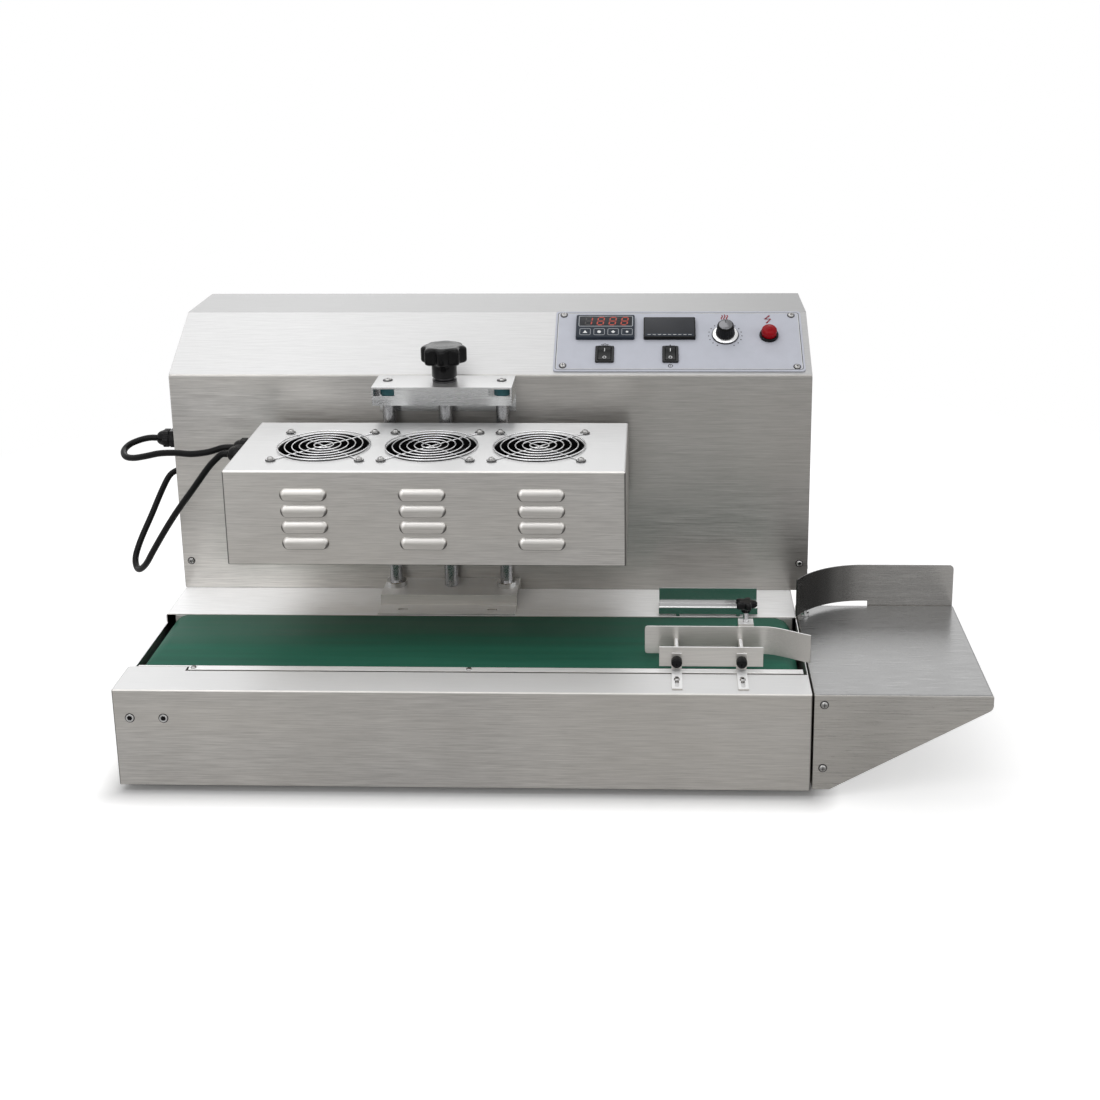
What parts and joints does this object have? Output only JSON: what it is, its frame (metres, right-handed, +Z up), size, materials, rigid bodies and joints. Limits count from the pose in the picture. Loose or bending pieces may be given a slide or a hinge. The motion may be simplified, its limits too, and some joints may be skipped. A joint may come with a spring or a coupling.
{
  "type": "induction cap sealer",
  "caption": "Tabletop induction sealer: a belt carries capped bottles under a height-adjustable, fan-cooled sealing head to an outfeed table.",
  "frame": {"origin": "centre of the footprint at the underside of the feet", "axes": "+X along the belt from infeed to outfeed, +Y to the back, +Z up"},
  "size_m": [1.0766, 0.5, 0.4842],
  "materials": {
    "stainless": "brushed stainless sheet with folded edges",
    "stainless_dark": "smooth stainless sheet with darker reflections",
    "aluminium": "plain machined or extruded aluminium",
    "chrome": "bright plated steel",
    "steel": "turned steel",
    "black_plastic": "black moulded plastic",
    "black_rubber": "black cable sheath",
    "slate_plastic": "dark slate instrument plastic",
    "panel_grey": "light grey printed panel",
    "red_plastic": "glossy red moulded plastic",
    "belt_green": "dull green conveyor belting",
    "phenolic": "heat-proof laminate",
    "copper": "bare copper winding",
    "ferrite": "sintered ferrite"
  },
  "bodies": {
    "base": {"base_housing": "stainless", "base_bottom": "stainless", "conveyor_belt": "belt_green", "conveyor_side_front": "stainless", "conveyor_side_rear": "stainless", "belt_bed": "stainless", "gear_motor": "aluminium", "cabinet_shell": "stainless", "cabinet_rear_panel": "stainless", "mains_inlet": "black_plastic", "lift_bracket": "stainless", "lift_platform": "stainless", "guide_rod_left": "chrome", "guide_rod_right": "chrome", "control_panel": "panel_grey", "temperature_meter": "slate_plastic", "timer_display": "slate_plastic", "power_switch_frame": "black_plastic", "conveyor_switch_frame": "black_plastic", "speed_potentiometer": "steel", "seal_button_collar": "black_plastic", "outfeed_table": "stainless", "guard_plate": "stainless_dark", "rear_guide": "stainless", "cabinet_gland_upper": "black_plastic", "cabinet_gland_lower": "black_plastic", "cable_upper": "black_rubber", "cable_lower": "black_rubber", "inverter_module": "aluminium"},
    "head": {"head_cover": "stainless", "head_base": "phenolic", "induction_coil": "copper", "ferrite_yoke": "ferrite", "lift_carriage": "aluminium", "fan_frame_left": "black_plastic", "fan_frame_middle": "black_plastic", "fan_frame_right": "black_plastic", "fan_guard_left": "chrome", "fan_guard_middle": "chrome", "fan_guard_right": "chrome", "head_gland_upper": "black_plastic", "head_gland_lower": "black_plastic"},
    "lift_screw": {"lead_screw": "steel", "star_knob": "black_plastic"},
    "rotor_left": {"fan_rotor_left": "black_plastic"},
    "rotor_middle": {"fan_rotor_middle": "black_plastic"},
    "rotor_right": {"fan_rotor_right": "black_plastic"},
    "drive_roller": {"drive_roller": "steel"},
    "idler_roller": {"idler_roller": "steel"},
    "power_rocker": {"power_rocker": "black_plastic"},
    "conveyor_rocker": {"conveyor_rocker": "black_plastic"},
    "speed_dial": {"speed_dial": "black_plastic"},
    "seal_button": {"seal_button": "red_plastic"},
    "front_guide": {"guide_stand_left": "stainless", "guide_stand_right": "stainless", "guide_carrier": "stainless", "guide_sheet": "stainless"},
    "thumb_screw_left": {"guide_thumb_screw_left": "black_plastic"},
    "thumb_screw_right": {"guide_thumb_screw_right": "black_plastic"},
    "guide_star_knob": {"guide_star_knob": "black_plastic"}
  },
  "joints": [
    {"name": "head_lift", "type": "slide", "parent": "base", "child": "head", "axis": [0, 0, 1], "range_m": [-0.1, 0.02], "deforming": ["cable_upper", "cable_lower"]},
    {"name": "lift_screw_turn", "type": "hinge", "parent": "base", "child": "lift_screw", "pos_m": [-0.1435, 0.014, 0.3], "axis": [0, 0, 1], "range_deg": [-1450, 7210]},
    {"name": "fan_spin_left", "type": "hinge", "parent": "head", "child": "rotor_left", "pos_m": [-0.2755, -0.098, 0.36], "axis": [0, 0, 1], "continuous": true},
    {"name": "fan_spin_middle", "type": "hinge", "parent": "head", "child": "rotor_middle", "pos_m": [-0.146, -0.098, 0.36], "axis": [0, 0, 1], "continuous": true},
    {"name": "fan_spin_right", "type": "hinge", "parent": "head", "child": "rotor_right", "pos_m": [-0.0165, -0.098, 0.36], "axis": [0, 0, 1], "continuous": true},
    {"name": "drive_roller_turn", "type": "hinge", "parent": "base", "child": "drive_roller", "pos_m": [0.2695, -0.12, 0.1084], "axis": [0, 1, 0], "continuous": true},
    {"name": "idler_roller_turn", "type": "hinge", "parent": "base", "child": "idler_roller", "pos_m": [-0.471, -0.12, 0.1084], "axis": [0, 1, 0], "continuous": true},
    {"name": "power_rocker_tilt", "type": "hinge", "parent": "base", "child": "power_rocker", "pos_m": [0.0565, 0.06596, 0.44352], "axis": [1, 0, 0], "range_deg": [-20, 0]},
    {"name": "conveyor_rocker_tilt", "type": "hinge", "parent": "base", "child": "conveyor_rocker", "pos_m": [0.141, 0.06596, 0.44352], "axis": [1, 0, 0], "range_deg": [-20, 0]},
    {"name": "speed_dial_turn", "type": "hinge", "parent": "base", "child": "speed_dial", "pos_m": [0.2125, 0.09829, 0.45957], "axis": [0, -0.5082, 0.8613], "range_deg": [-150, 120]},
    {"name": "seal_button_press", "type": "slide", "parent": "base", "child": "seal_button", "axis": [0, 0.5082, -0.8613], "range_m": [0, 0.003], "stiffness_N_per_m": 400, "springref_m": -0.001},
    {"name": "front_guide_slide", "type": "slide", "parent": "base", "child": "front_guide", "axis": [0, 1, 0], "range_m": [-0.006, 0.016]},
    {"name": "thumb_screw_left_turn", "type": "hinge", "parent": "front_guide", "child": "thumb_screw_left", "pos_m": [0.14625, -0.199, 0.1443], "axis": [0, 1, 0], "range_deg": [-720, 720]},
    {"name": "thumb_screw_right_turn", "type": "hinge", "parent": "front_guide", "child": "thumb_screw_right", "pos_m": [0.22175, -0.199, 0.1443], "axis": [0, 1, 0], "range_deg": [-720, 720]},
    {"name": "guide_star_knob_turn", "type": "hinge", "parent": "front_guide", "child": "guide_star_knob", "pos_m": [0.22825, -0.15625, 0.2], "axis": [0, 0, 1], "range_deg": [-720, 720]}
  ],
  "couplings": [
    {"joint": "lift_screw_turn", "follows": "head_lift", "rad_per_m": -1256.6},
    {"joint": "idler_roller_turn", "follows": "drive_roller_turn", "ratio": 1}
  ]
}
